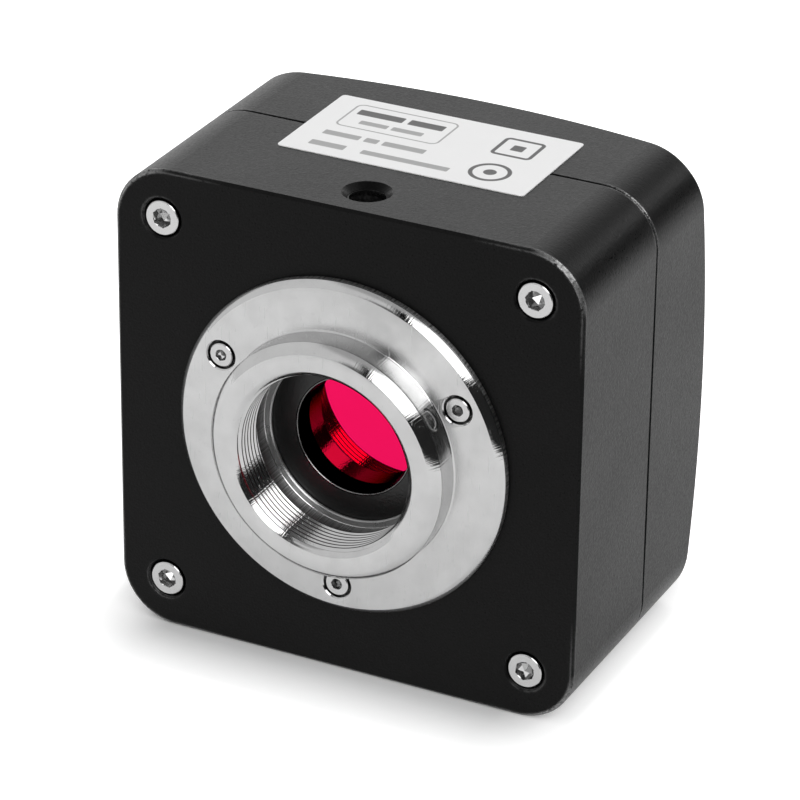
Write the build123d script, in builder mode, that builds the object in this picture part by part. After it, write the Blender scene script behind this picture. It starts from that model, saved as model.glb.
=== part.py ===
from build123d import *
from math import isclose, sqrt
import os

os.makedirs("parts", exist_ok=True)

# A microscope camera: a square aluminium housing in two halves with a domed back, a turned
# lens mount ring on its front, a filter and an image sensor behind the ring, two circuit
# boards on standoffs, and a data socket and a status light in the back.
#
# The origin is the middle of the mount ring's front rim. +Y runs along the optical axis into
# the camera, +Z is up. A name that ends in _at is a depth along +Y behind that rim.
# All sizes are in millimetres.

# Housing
body_width = 68.0
body_depth = 44.5
body_corner_radius = 8.0
front_half_depth = 22.7
dome_radius = 150.0
side_wall = 3.0
rear_wall = 3.5
front_plate = 6.0
front_edge_chamfer = 0.4
parting_chamfer = 0.3
lip_length = 2.0
lip_thickness = 1.3
fit_gap = 0.1

# Lens mount ring, for the 1 inch x 32 lens thread
mount_height = 6.6
thread_radius = 12.3
thread_mouth_chamfer = 1.0
thread_end_at = 5.8
relief_radius = 13.1
relief_width = 3.1
land_radius = 12.1
collar_radius = 17.0
collar_chamfer = 1.3
collar_fillet = 0.3
flange_radius = 24.0
flange_height = 1.8
flange_chamfer = 0.9
flange_recess = 1.2
spigot_radius = 15.0
spigot_length = 1.6
image_plane_at = 17.526

# Screws
housing_screw_inset = 7.0
housing_screw_radius = 1.5
housing_screw_length = 25.0
housing_head_radius = 2.45
housing_head_height = 3.0
housing_key_width = 2.5
housing_key_depth = 1.5
housing_counterbore_radius = 2.78
counterbore_chamfer = 0.25
flange_screw_circle_radius = 20.0
flange_screw_count = 3
flange_screw_first_angle = 30.0
small_screw_radius = 1.0
small_head_radius = 1.68
small_head_height = 2.0
small_key_width = 1.5
small_key_depth = 1.0
small_counterbore_radius = 2.05
small_counterbore_chamfer = 0.15
flange_screw_length = 4.0
board_screw_length = 4.0
head_chamfer = 0.2
shank_chamfer = 0.25
thread_gap = 0.05
screw_hole_gap = 0.1
drill_point_height = 0.4

# Tripod thread in the top
tripod_behind_face = 6.3
tripod_radius = 2.6
tripod_chamfer = 0.8
tripod_depth = 7.0
tripod_boss_width = 14.0
tripod_boss_wall = 2.9
tripod_boss_fillet = 2.0

# Filter behind the aperture of the front plate
aperture_radius = 8.35
aperture_chamfer = 0.1
filter_radius = 10.3
filter_thickness = 1.0
retainer_thickness = 0.9
retainer_opening_radius = 9.0
retainer_slot_width = 1.2
retainer_slot_depth = 0.4
hub_radius = 14.0
seal_thickness = 1.0
seal_width = 22.0
seal_height = 19.0
seal_opening_width = 16.0
seal_opening_height = 13.0
seal_corner_radius = 2.0

# Image sensor
cover_glass_thickness = 0.7
cover_glass_width = 18.4
cover_glass_height = 15.4
package_width = 20.0
package_height = 17.0
package_corner_radius = 0.6
package_well_width = 15.6
package_well_height = 12.6
package_floor = 0.9
die_width = 13.2
die_height = 8.8
die_thickness = 0.5
rim_above_die = 0.9

# Circuit boards
board_thickness = 1.6
board_post_inset = 8.0
board_post_radius = 3.0
post_hole_depth = 4.0
sensor_board_margin = 3.0
sensor_board_corner_radius = 2.0
main_board_gap = 1.5
main_board_corner_radius = 1.0
standoff_length = 10.0
standoff_width = 4.0
standoff_stud_length = 5.0
standoff_hole_depth = 5.0

# Connector between the boards
connector_from_edge = 7.0
connector_columns = 8
connector_rows = 2
connector_pitch = 2.0
connector_edge = 1.2
header_base = 1.5
pin_width = 0.5
pin_hole_width = 0.8
pin_reach = 4.5
pin_hole_reach = 5.5

# Parts on the boards: width along X, height along Z and thickness along Y
chip_capacitor_width = 0.8
chip_capacitor_height = 1.6
chip_capacitor_thickness = 0.8
chip_capacitor_pitch = 3.2
chip_capacitor_rows = 4
chip_capacitor_offset = 13.0
processor_width = 16.0
processor_thickness = 1.4
processor_x = -4.6
processor_z = 13.0
memory_width = 8.0
memory_height = 10.0
memory_thickness = 1.1
memory_pitch = 11.0
memory_x = 8.6
controller_width = 8.0
controller_thickness = 0.9
controller_x = -14.0
controller_z = -8.0
inductor_width = 5.0
inductor_thickness = 3.0
inductor_pitch = 8.0
inductor_count = 3
inductor_from_edge = 4.5
inductor_corner_radius = 1.0
crystal_width = 3.2
crystal_height = 2.5
crystal_thickness = 0.9
board_capacitor_width = 1.8
board_capacitor_height = 3.4
board_capacitor_thickness = 1.9
board_capacitor_pitch = 4.5
board_capacitor_count = 4
board_capacitor_from_edge = 3.5

# Data socket: a square type with a centre tongue
port_z = -12.0
port_proud = 0.3
port_width = 12.0
port_height = 11.0
port_metal = 0.4
port_opening_width = 8.45
port_opening_height = 7.78
port_opening_bevel = 1.6
port_opening_depth = 9.0
port_lip_gap = 0.2
tongue_width = 5.6
tongue_height = 3.2
tongue_setback = 1.0
contact_width = 1.0
contact_thickness = 0.2
contact_length = 6.0
contact_pitch = 2.5
plug_pocket_width = 18.0
plug_pocket_height = 16.0
plug_pocket_radius = 2.0
plug_pocket_depth = 2.5
port_hole_gap = 0.2

# Status light
light_x = 14.0
light_pipe_radius = 1.5
light_pipe_shoulder_radius = 2.2
light_pipe_shoulder = 1.0
light_pipe_proud = 0.2
led_width = 3.0
led_height = 1.6
led_thickness = 1.0

# Sticker on the top
label_width = 36.0
label_depth = 19.4
label_thickness = 0.12
label_corner_radius = 0.6
label_x = 0.5
label_behind_face = 23.85

# Places that follow from the sizes above
body_half = body_width / 2
face_at = mount_height
plate_back_at = face_at + front_plate
parting_at = face_at + front_half_depth
apex_at = face_at + body_depth
dome_centre_at = apex_at - dome_radius
inner_half = body_half - side_wall
housing_screw_pitch = body_width - 2 * housing_screw_inset
boss_radius = housing_screw_inset - side_wall
rebate_half = inner_half + fit_gap + lip_thickness + fit_gap

flange_face_at = face_at - flange_height
flange_back_at = face_at + flange_recess
spigot_end_at = flange_back_at + spigot_length
pocket_floor_at = spigot_end_at + fit_gap
thread_relief_end_at = thread_end_at + relief_width

cover_glass_at = image_plane_at - rim_above_die - cover_glass_thickness
package_at = cover_glass_at + cover_glass_thickness
die_back_at = image_plane_at + die_thickness
sensor_board_at = die_back_at + package_floor
hub_end_at = cover_glass_at - seal_thickness
filter_at = hub_end_at - fit_gap - retainer_thickness - filter_thickness
retainer_at = filter_at + filter_thickness

board_post_pitch = housing_screw_pitch - 2 * board_post_inset
sensor_board_half = board_post_pitch / 2 + sensor_board_margin
connector_drop = sensor_board_half - connector_from_edge
main_board_half = inner_half - main_board_gap
main_board_at = sensor_board_at + board_thickness + standoff_length
main_board_back_at = main_board_at + board_thickness

tripod_at = face_at + tripod_behind_face
plug_pocket_at = apex_at - plug_pocket_depth
port_face_at = plug_pocket_at + port_proud
led_top_at = main_board_back_at + led_thickness


def across(depth):
    """Sketch plane square to the optical axis, with local x and y along X and Z."""
    return Plane.XZ.offset(-depth)


def rim(shape, radius, axis, position):
    """Circular edges of one radius that lie at one position along an axis."""
    circles = shape.edges().filter_by(GeomType.CIRCLE)
    same_size = circles.filter_by(lambda edge: isclose(edge.radius, radius, abs_tol=1e-4))
    return same_size.filter_by_position(axis, position - 1e-4, position + 1e-4)


def save(part, name):
    """Write one sub-part under its own name."""
    part.label = name
    export_step(part, "parts/" + name + ".step")


def cap_screw(head_radius, head_height, shank_radius, length, key_width, key_depth):
    """Hexagon-socket screw that points along +Y with the top of its head at the origin."""
    with BuildPart() as screw:
        with BuildSketch(across(0)):
            Circle(head_radius)
        extrude(amount=-head_height)
        chamfer(screw.faces().sort_by(Axis.Y)[0].edges(), length=head_chamfer)
        with BuildSketch(across(head_height)):
            Circle(shank_radius)
        extrude(amount=-length)
        chamfer(screw.faces().sort_by(Axis.Y)[-1].edges(), length=shank_chamfer)
        with BuildSketch(across(0)):
            RegularPolygon(key_width / 2, side_count=6, major_radius=False)
        extrude(amount=-key_depth, mode=Mode.SUBTRACT)
        with Locations((0, key_depth, 0)):
            Cone(
                key_width / 2,
                0,
                drill_point_height,
                rotation=(-90, 0, 0),
                align=(Align.CENTER, Align.CENTER, Align.MIN),
                mode=Mode.SUBTRACT,
            )
    return screw.part


def board_chip(width, height, thickness, corner_radius=0.2):
    """Flat package that stands on a board's back face at the origin and grows along +Y."""
    with BuildPart() as chip:
        with BuildSketch(across(0)):
            RectangleRounded(width, height, corner_radius)
        extrude(amount=-thickness)
    return chip.part


def socket_opening(grow=0):
    """Outline of the data socket's opening, with its two upper corners bevelled."""
    half_width = port_opening_width / 2
    half_height = port_opening_height / 2
    with BuildSketch() as opening:
        with BuildLine():
            Polyline(
                (-half_width, -half_height),
                (half_width, -half_height),
                (half_width, half_height - port_opening_bevel),
                (half_width - port_opening_bevel, half_height),
                (port_opening_bevel - half_width, half_height),
                (-half_width, half_height - port_opening_bevel),
                close=True,
            )
        make_face()
        if grow > 0:
            offset(amount=grow, kind=Kind.INTERSECTION)
    return opening.sketch


housing_screw_corners = GridLocations(housing_screw_pitch, housing_screw_pitch, 2, 2)
board_post_corners = GridLocations(board_post_pitch, board_post_pitch, 2, 2)
flange_screw_spots = PolarLocations(
    flange_screw_circle_radius, flange_screw_count, flange_screw_first_angle, rotate=False
)

# Front half of the housing: a thick front plate with side walls down to the parting line
housing_seat_at = face_at + housing_head_height
with BuildPart() as front_housing:
    with BuildSketch(across(face_at)):
        RectangleRounded(body_width, body_width, body_corner_radius)
    extrude(amount=-front_half_depth)
    chamfer(front_housing.faces().sort_by(Axis.Y)[0].edges(), length=front_edge_chamfer)
    chamfer(front_housing.faces().sort_by(Axis.Y)[-1].edges(), length=parting_chamfer)

    # Hollow inside with a column for each long screw in its corners
    with BuildSketch(across(plate_back_at)):
        RectangleRounded(2 * inner_half, 2 * inner_half, boss_radius)
    extrude(amount=plate_back_at - parting_at, mode=Mode.SUBTRACT)
    with BuildSketch(across(plate_back_at)):
        with housing_screw_corners:
            Circle(boss_radius)
    extrude(amount=plate_back_at - parting_at)

    # Rebate inside the edge for the rear half's lip
    with BuildSketch(across(parting_at)):
        RectangleRounded(2 * rebate_half, 2 * rebate_half, boss_radius + rebate_half - inner_half)
        with housing_screw_corners:
            Circle(boss_radius, mode=Mode.SUBTRACT)
    extrude(amount=lip_length + fit_gap, mode=Mode.SUBTRACT)

    # Hub round the filter, posts for the sensor board and block for the tripod thread
    with BuildSketch(across(plate_back_at)):
        Circle(hub_radius)
    extrude(amount=plate_back_at - hub_end_at)
    with BuildSketch(across(plate_back_at)):
        with board_post_corners:
            Circle(board_post_radius)
    extrude(amount=plate_back_at - sensor_board_at)
    tripod_boss_height = tripod_depth + tripod_boss_wall - side_wall
    tripod_boss_end_at = tripod_at + tripod_radius + tripod_boss_wall
    with BuildSketch(across(plate_back_at)):
        with Locations((0, inner_half)):
            Rectangle(tripod_boss_width, tripod_boss_height, align=(Align.CENTER, Align.MAX))
        fillet(vertices().group_by(Axis.Y)[0], tripod_boss_fillet)
    extrude(amount=plate_back_at - tripod_boss_end_at)

    # Seat for the mount ring, aperture and filter pocket
    with BuildSketch(across(face_at)):
        Circle(flange_radius + fit_gap / 2)
    extrude(amount=face_at - flange_back_at, mode=Mode.SUBTRACT)
    with BuildSketch(across(flange_back_at)):
        Circle(spigot_radius + fit_gap / 2)
    extrude(amount=flange_back_at - pocket_floor_at, mode=Mode.SUBTRACT)
    with BuildSketch(across(pocket_floor_at)):
        Circle(aperture_radius)
    extrude(amount=pocket_floor_at - hub_end_at, mode=Mode.SUBTRACT)
    with BuildSketch(across(filter_at)):
        Circle(filter_radius + fit_gap)
    extrude(amount=filter_at - hub_end_at, mode=Mode.SUBTRACT)
    chamfer(rim(front_housing, aperture_radius, Axis.Y, pocket_floor_at), length=aperture_chamfer)

    # Screw holes
    with BuildSketch(across(face_at)):
        with housing_screw_corners:
            Circle(housing_counterbore_radius)
    extrude(amount=face_at - housing_seat_at, mode=Mode.SUBTRACT)
    with BuildSketch(across(housing_seat_at)):
        with housing_screw_corners:
            Circle(housing_screw_radius + screw_hole_gap)
    extrude(amount=housing_seat_at - parting_at, mode=Mode.SUBTRACT)
    chamfer(
        rim(front_housing, housing_counterbore_radius, Axis.Y, face_at),
        length=counterbore_chamfer,
    )
    with BuildSketch(across(flange_back_at)):
        with flange_screw_spots:
            Circle(small_screw_radius + thread_gap)
    extrude(amount=-flange_screw_length, mode=Mode.SUBTRACT)
    with BuildSketch(across(sensor_board_at)):
        with board_post_corners:
            Circle(small_screw_radius + thread_gap)
    extrude(amount=post_hole_depth, mode=Mode.SUBTRACT)

    # Tripod thread
    with BuildSketch(Plane.XY.offset(body_half)):
        with Locations((0, tripod_at)):
            Circle(tripod_radius)
    extrude(amount=-tripod_depth, mode=Mode.SUBTRACT)
    chamfer(rim(front_housing, tripod_radius, Axis.Z, body_half), length=tripod_chamfer)
save(front_housing.part, "front_housing")

# Hollow of the rear half: square sides that end in a dome
with BuildPart() as rear_hollow:
    with BuildSketch(across(parting_at)):
        RectangleRounded(2 * inner_half, 2 * inner_half, boss_radius)
    extrude(amount=parting_at - apex_at)
    with Locations((0, dome_centre_at, 0)):
        Sphere(dome_radius - rear_wall, mode=Mode.INTERSECT)

# Rear half of the housing: side walls with a locating lip and a domed back
with BuildPart() as rear_housing:
    with BuildSketch(across(parting_at)):
        RectangleRounded(body_width, body_width, body_corner_radius)
    extrude(amount=parting_at - apex_at)
    chamfer(rear_housing.faces().sort_by(Axis.Y)[0].edges(), length=parting_chamfer)
    add(rear_hollow.part, mode=Mode.SUBTRACT)
    with BuildSketch(across(parting_at)):
        with housing_screw_corners:
            Circle(boss_radius)
    extrude(amount=parting_at - apex_at)
    with Locations((0, dome_centre_at, 0)):
        Sphere(dome_radius, mode=Mode.INTERSECT)

    # Lip that locates the rear half in the front half
    lip_inner_half = inner_half + fit_gap
    lip_outer_half = lip_inner_half + lip_thickness
    with BuildSketch(across(parting_at)):
        RectangleRounded(2 * lip_outer_half, 2 * lip_outer_half, boss_radius + lip_outer_half - inner_half)
        RectangleRounded(
            2 * lip_inner_half,
            2 * lip_inner_half,
            boss_radius + fit_gap,
            mode=Mode.SUBTRACT,
        )
    extrude(amount=lip_length)

    # Threaded holes for the long screws
    housing_screw_end_at = housing_seat_at + housing_screw_length
    with BuildSketch(across(parting_at)):
        with housing_screw_corners:
            Circle(housing_screw_radius + thread_gap)
    extrude(amount=parting_at - housing_screw_end_at - fit_gap, mode=Mode.SUBTRACT)

    # Pocket and hole for the data socket, hole for the light pipe
    with BuildSketch(across(plug_pocket_at)):
        with Locations((0, port_z)):
            RectangleRounded(plug_pocket_width, plug_pocket_height, plug_pocket_radius)
    extrude(amount=plug_pocket_at - apex_at, mode=Mode.SUBTRACT)
    with BuildSketch(across(main_board_back_at)):
        with Locations((0, port_z)):
            Rectangle(port_width + 2 * port_hole_gap, port_height + 2 * port_hole_gap)
        with Locations((light_x, port_z)):
            Circle(light_pipe_radius + thread_gap)
    extrude(amount=main_board_back_at - apex_at, mode=Mode.SUBTRACT)
save(rear_housing.part, "rear_housing")

# Lens mount ring: a turned profile with three counterbored screw holes in its flange
with BuildPart() as mount_flange:
    with BuildSketch(Plane.YZ):
        with BuildLine():
            Polyline(
                (thread_mouth_chamfer, thread_radius),
                (0, thread_radius + thread_mouth_chamfer),
                (0, collar_radius - collar_chamfer),
                (collar_chamfer, collar_radius),
                (flange_face_at, collar_radius),
                (flange_face_at, flange_radius - flange_chamfer),
                (flange_face_at + flange_chamfer, flange_radius),
                (flange_back_at, flange_radius),
                (flange_back_at, spigot_radius),
                (spigot_end_at, spigot_radius),
                (spigot_end_at, land_radius),
                (thread_relief_end_at, land_radius),
                (thread_relief_end_at, relief_radius),
                (thread_end_at, relief_radius),
                (thread_end_at, thread_radius),
                close=True,
            )
        make_face()
    revolve(axis=Axis.Y)
    fillet(rim(mount_flange, collar_radius, Axis.Y, flange_face_at), radius=collar_fillet)
    with BuildSketch(across(flange_face_at)):
        with flange_screw_spots:
            Circle(small_counterbore_radius)
    extrude(amount=-small_head_height, mode=Mode.SUBTRACT)
    with BuildSketch(across(flange_face_at)):
        with flange_screw_spots:
            Circle(small_screw_radius + screw_hole_gap)
    extrude(amount=flange_face_at - flange_back_at, mode=Mode.SUBTRACT)
    chamfer(
        rim(mount_flange, small_counterbore_radius, Axis.Y, flange_face_at),
        length=small_counterbore_chamfer,
    )
save(mount_flange.part, "mount_flange")

# Screws of the mount ring
flange_screw = cap_screw(
    small_head_radius,
    small_head_height,
    small_screw_radius,
    flange_screw_length,
    small_key_width,
    small_key_depth,
)
with BuildPart() as flange_screws:
    for spot in flange_screw_spots.local_locations:
        with Locations((spot.position.X, flange_face_at, spot.position.Y)):
            add(flange_screw)
save(flange_screws.part, "flange_screws")

# Long screws that hold the two halves of the housing together
housing_screw = cap_screw(
    housing_head_radius,
    housing_head_height,
    housing_screw_radius,
    housing_screw_length,
    housing_key_width,
    housing_key_depth,
)
with BuildPart() as housing_screws:
    for spot in housing_screw_corners.local_locations:
        with Locations((spot.position.X, face_at, spot.position.Y)):
            add(housing_screw)
save(housing_screws.part, "housing_screws")

# Filter glass in its pocket behind the aperture
with BuildPart() as filter_glass:
    with BuildSketch(across(filter_at)):
        Circle(filter_radius)
    extrude(amount=-filter_thickness)
save(filter_glass.part, "filter_glass")

# Threaded ring behind the filter, with two slots for a spanner
with BuildPart() as filter_retainer:
    with BuildSketch(across(retainer_at)):
        Circle(filter_radius + fit_gap / 2)
        Circle(retainer_opening_radius, mode=Mode.SUBTRACT)
    extrude(amount=-retainer_thickness)
    with BuildSketch(across(retainer_at + retainer_thickness)):
        Rectangle(2 * (filter_radius + fit_gap), retainer_slot_width)
    extrude(amount=retainer_slot_depth, mode=Mode.SUBTRACT)
save(filter_retainer.part, "filter_retainer")

# Rubber seal between the hub and the sensor's cover glass
with BuildPart() as sensor_seal:
    with BuildSketch(across(hub_end_at)):
        RectangleRounded(seal_width, seal_height, seal_corner_radius)
        Rectangle(seal_opening_width, seal_opening_height, mode=Mode.SUBTRACT)
    extrude(amount=-seal_thickness)
save(sensor_seal.part, "sensor_seal")

# Image sensor: cover glass, ceramic package with a well, and the die on the image plane
with BuildPart() as sensor_cover_glass:
    with BuildSketch(across(cover_glass_at)):
        Rectangle(cover_glass_width, cover_glass_height)
    extrude(amount=-cover_glass_thickness)
save(sensor_cover_glass.part, "sensor_cover_glass")

with BuildPart() as sensor_package:
    with BuildSketch(across(package_at)):
        RectangleRounded(package_width, package_height, package_corner_radius)
    extrude(amount=package_at - sensor_board_at)
    with BuildSketch(across(package_at)):
        Rectangle(package_well_width, package_well_height)
    extrude(amount=package_at - die_back_at, mode=Mode.SUBTRACT)
save(sensor_package.part, "sensor_package")

with BuildPart() as sensor_die:
    with BuildSketch(across(image_plane_at)):
        Rectangle(die_width, die_height)
    extrude(amount=-die_thickness)
save(sensor_die.part, "sensor_die")

# Sensor board with small capacitors on both sides of the sensor
with BuildPart() as sensor_board:
    with BuildSketch(across(sensor_board_at)):
        RectangleRounded(2 * sensor_board_half, 2 * sensor_board_half, sensor_board_corner_radius)
        with board_post_corners:
            Circle(small_screw_radius + screw_hole_gap, mode=Mode.SUBTRACT)
    extrude(amount=-board_thickness)
save(sensor_board.part, "sensor_board")

with BuildPart() as sensor_capacitors:
    with BuildSketch(across(sensor_board_at)):
        with GridLocations(2 * chip_capacitor_offset, chip_capacitor_pitch, 2, chip_capacitor_rows):
            Rectangle(chip_capacitor_width, chip_capacitor_height)
    extrude(amount=chip_capacitor_thickness)
save(sensor_capacitors.part, "sensor_capacitors")

# Hexagonal standoff: its stud goes through the sensor board into the housing's post
with BuildPart() as standoff:
    with BuildSketch(across(0)):
        RegularPolygon(standoff_width / 2, side_count=6, major_radius=False)
    extrude(amount=-standoff_length)
    with BuildSketch(across(0)):
        Circle(small_screw_radius)
    extrude(amount=standoff_stud_length)
    chamfer(standoff.faces().sort_by(Axis.Y)[0].edges(), length=shank_chamfer)
    with BuildSketch(across(standoff_length)):
        Circle(small_screw_radius + thread_gap)
    extrude(amount=standoff_hole_depth, mode=Mode.SUBTRACT)

with BuildPart() as board_standoffs:
    for spot in board_post_corners.local_locations:
        with Locations((spot.position.X, sensor_board_at + board_thickness, spot.position.Y)):
            add(standoff.part)
save(board_standoffs.part, "board_standoffs")

# Connector pair between the boards: a socket with holes and a header with pins
connector_width = connector_columns * connector_pitch + connector_edge
connector_height = connector_rows * connector_pitch + connector_edge
header_at = main_board_at - header_base
with BuildPart() as board_socket:
    with BuildSketch(across(sensor_board_at + board_thickness)):
        with Locations((0, -connector_drop)):
            Rectangle(connector_width, connector_height)
    extrude(amount=header_base - standoff_length)
    with BuildSketch(across(header_at)):
        with Locations((0, -connector_drop)):
            with GridLocations(connector_pitch, connector_pitch, connector_columns, connector_rows):
                Rectangle(pin_hole_width, pin_hole_width)
    extrude(amount=pin_hole_reach, mode=Mode.SUBTRACT)
save(board_socket.part, "board_socket")

with BuildPart() as board_header:
    with BuildSketch(across(main_board_at)):
        with Locations((0, -connector_drop)):
            Rectangle(connector_width, connector_height)
    extrude(amount=header_base)
    with BuildSketch(across(header_at)):
        with Locations((0, -connector_drop)):
            with GridLocations(connector_pitch, connector_pitch, connector_columns, connector_rows):
                Rectangle(pin_width, pin_width)
    extrude(amount=pin_reach)
save(board_header.part, "board_header")

# Main board, cut back round the housing's screw columns
with BuildPart() as main_board:
    with BuildSketch(across(main_board_at)):
        RectangleRounded(2 * main_board_half, 2 * main_board_half, main_board_corner_radius)
        with housing_screw_corners:
            Circle(boss_radius + main_board_gap, mode=Mode.SUBTRACT)
        with board_post_corners:
            Circle(small_screw_radius + screw_hole_gap, mode=Mode.SUBTRACT)
    extrude(amount=-board_thickness)
save(main_board.part, "main_board")

board_screw = cap_screw(
    small_head_radius,
    small_head_height,
    small_screw_radius,
    board_screw_length,
    small_key_width,
    small_key_depth,
)
with BuildPart() as main_board_screws:
    for spot in board_post_corners.local_locations:
        with Locations((spot.position.X, main_board_back_at + small_head_height, spot.position.Y)):
            add(board_screw.mirror(Plane.XZ))
save(main_board_screws.part, "main_board_screws")

# Parts on the back of the main board
with BuildPart() as processor:
    with Locations((processor_x, main_board_back_at, processor_z)):
        add(board_chip(processor_width, processor_width, processor_thickness))
save(processor.part, "processor")

with BuildPart() as memory_chips:
    for side in (-1, 1):
        with Locations((memory_x, main_board_back_at, processor_z + side * memory_pitch / 2)):
            add(board_chip(memory_width, memory_height, memory_thickness))
save(memory_chips.part, "memory_chips")

with BuildPart() as port_controller:
    with Locations((controller_x, main_board_back_at, controller_z)):
        add(board_chip(controller_width, controller_width, controller_thickness))
save(port_controller.part, "port_controller")

inductor_x = inductor_from_edge - main_board_half
with BuildPart() as power_inductors:
    for row in range(inductor_count):
        inductor_z = (row - (inductor_count - 1) / 2) * inductor_pitch
        with Locations((inductor_x, main_board_back_at, inductor_z)):
            add(board_chip(inductor_width, inductor_width, inductor_thickness, inductor_corner_radius))
save(power_inductors.part, "power_inductors")

with BuildPart() as clock_crystal:
    with Locations((controller_x, main_board_back_at, 0)):
        add(board_chip(crystal_width, crystal_height, crystal_thickness))
save(clock_crystal.part, "clock_crystal")

board_capacitor_x = main_board_half - board_capacitor_from_edge
with BuildPart() as board_capacitors:
    for row in range(board_capacitor_count):
        capacitor_z = (row - (board_capacitor_count - 1) / 2) * board_capacitor_pitch
        with Locations((board_capacitor_x, main_board_back_at, capacitor_z)):
            add(board_chip(board_capacitor_width, board_capacitor_height, board_capacitor_thickness))
save(board_capacitors.part, "board_capacitors")

# Data socket: a folded metal shell round a moulded insulator with a tongue
with BuildPart() as port_shell:
    with BuildSketch(across(main_board_back_at)):
        with Locations((0, port_z)):
            Rectangle(port_width, port_height)
    extrude(amount=main_board_back_at - port_face_at)
    with BuildSketch(across(main_board_back_at)):
        with Locations((0, port_z)):
            Rectangle(port_width - 2 * port_metal, port_height - 2 * port_metal)
    extrude(amount=main_board_back_at - port_face_at + port_metal, mode=Mode.SUBTRACT)
    with BuildSketch(across(port_face_at - port_metal)):
        with Locations((0, port_z)):
            add(socket_opening(port_lip_gap))
    extrude(amount=-port_metal, mode=Mode.SUBTRACT)
save(port_shell.part, "port_shell")

insulator_face_at = port_face_at - port_metal
with BuildPart() as port_insulator:
    with BuildSketch(across(main_board_back_at)):
        with Locations((0, port_z)):
            Rectangle(port_width - 2 * port_metal - fit_gap, port_height - 2 * port_metal - fit_gap)
    extrude(amount=main_board_back_at - insulator_face_at)
    with BuildSketch(across(insulator_face_at)):
        with Locations((0, port_z)):
            add(socket_opening())
            Rectangle(tongue_width, tongue_height, mode=Mode.SUBTRACT)
    extrude(amount=port_opening_depth, mode=Mode.SUBTRACT)
    with BuildSketch(across(insulator_face_at)):
        with Locations((0, port_z)):
            Rectangle(tongue_width, tongue_height)
    extrude(amount=tongue_setback, mode=Mode.SUBTRACT)
save(port_insulator.part, "port_insulator")

contact_at = insulator_face_at - tongue_setback - contact_thickness
contact_offset = tongue_height / 2 + contact_thickness / 2
with BuildPart() as port_contacts:
    with BuildSketch(across(contact_at)):
        with Locations((0, port_z)):
            with GridLocations(contact_pitch, 2 * contact_offset, 2, 2):
                Rectangle(contact_width, contact_thickness)
    extrude(amount=contact_length)
save(port_contacts.part, "port_contacts")

# Status light: a small lamp on the board and a clear pipe to the back
with BuildPart() as status_led:
    with Locations((light_x, main_board_back_at, port_z)):
        add(board_chip(led_width, led_height, led_thickness))
save(status_led.part, "status_led")

light_distance = sqrt(light_x**2 + port_z**2)
dome_at_light = dome_centre_at + sqrt(dome_radius**2 - light_distance**2)
inside_at_light = dome_centre_at + sqrt(
    (dome_radius - rear_wall) ** 2 - (light_distance + light_pipe_shoulder_radius) ** 2
)
with BuildPart() as light_pipe:
    with BuildSketch(across(led_top_at)):
        with Locations((light_x, port_z)):
            Circle(light_pipe_radius)
    extrude(amount=led_top_at - dome_at_light - light_pipe_proud)
    with BuildSketch(across(inside_at_light)):
        with Locations((light_x, port_z)):
            Circle(light_pipe_shoulder_radius)
    extrude(amount=light_pipe_shoulder)
save(light_pipe.part, "light_pipe")

# Sticker on the top, across the parting line
with BuildPart() as top_label:
    with BuildSketch(Plane.XY.offset(body_half)):
        with Locations((label_x, face_at + label_behind_face)):
            RectangleRounded(label_width, label_depth, label_corner_radius)
    extrude(amount=label_thickness)
save(top_label.part, "top_label")
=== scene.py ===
from math import cos, degrees, floor, pi, radians, sin

import bmesh
import bpy
from mathutils import Matrix, Vector


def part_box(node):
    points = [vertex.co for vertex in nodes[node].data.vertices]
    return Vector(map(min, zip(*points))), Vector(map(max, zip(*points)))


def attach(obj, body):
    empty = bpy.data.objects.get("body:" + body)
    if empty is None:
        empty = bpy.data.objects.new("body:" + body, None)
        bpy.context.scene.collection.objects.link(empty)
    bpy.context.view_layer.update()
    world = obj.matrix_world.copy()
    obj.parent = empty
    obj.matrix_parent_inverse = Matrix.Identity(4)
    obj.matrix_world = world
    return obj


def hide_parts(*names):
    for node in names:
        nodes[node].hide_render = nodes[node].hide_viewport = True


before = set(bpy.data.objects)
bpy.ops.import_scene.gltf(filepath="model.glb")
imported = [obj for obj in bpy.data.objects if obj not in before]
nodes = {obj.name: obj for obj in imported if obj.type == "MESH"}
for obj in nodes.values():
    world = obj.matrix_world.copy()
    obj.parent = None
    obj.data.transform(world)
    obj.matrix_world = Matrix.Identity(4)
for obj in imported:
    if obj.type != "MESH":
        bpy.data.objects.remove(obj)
bpy.context.view_layer.update()

# A microscope camera on a pale floor. The frame gives every solid in metres; sizes in this
# script that are written in millimetres are multiplied by mm where they are used.
mm = 0.001

# View, fitted to the corners and circles of the photographed object: place and clipping in
# metres, lens and sensor in millimetres
camera_place = Vector((0.227917, -0.439005, 0.258224))
camera_azimuth = radians(26.248)
camera_elevation = radians(26.676)
camera_roll = radians(0.744)
camera_lens = 192.67
camera_sensor = 36.0
camera_near = 0.01
camera_far = 10.0

# Lens mount ring, in millimetres: depths run along +Y behind the front rim
ring_segments = 360
thread_pitch = 25.4 / 32
thread_crest_radius = 12.3
thread_root_radius = 12.72
thread_start_at = 0.58
thread_end_at = 5.8
mouth_radius = 13.3
mouth_edge_at = 0.03
relief_radius = 13.1
relief_end_at = 8.9
land_radius = 12.1
spigot_radius = 15.0
spigot_end_at = 9.4
collar_radius = 17.0
collar_chamfer = 1.3
collar_fillet = 0.3
collar_fillet_steps = 5
flange_face_at = 4.8
flange_radius = 24.0
flange_chamfer = 0.9
flange_back_at = 7.8
edge_break = 0.08

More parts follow.
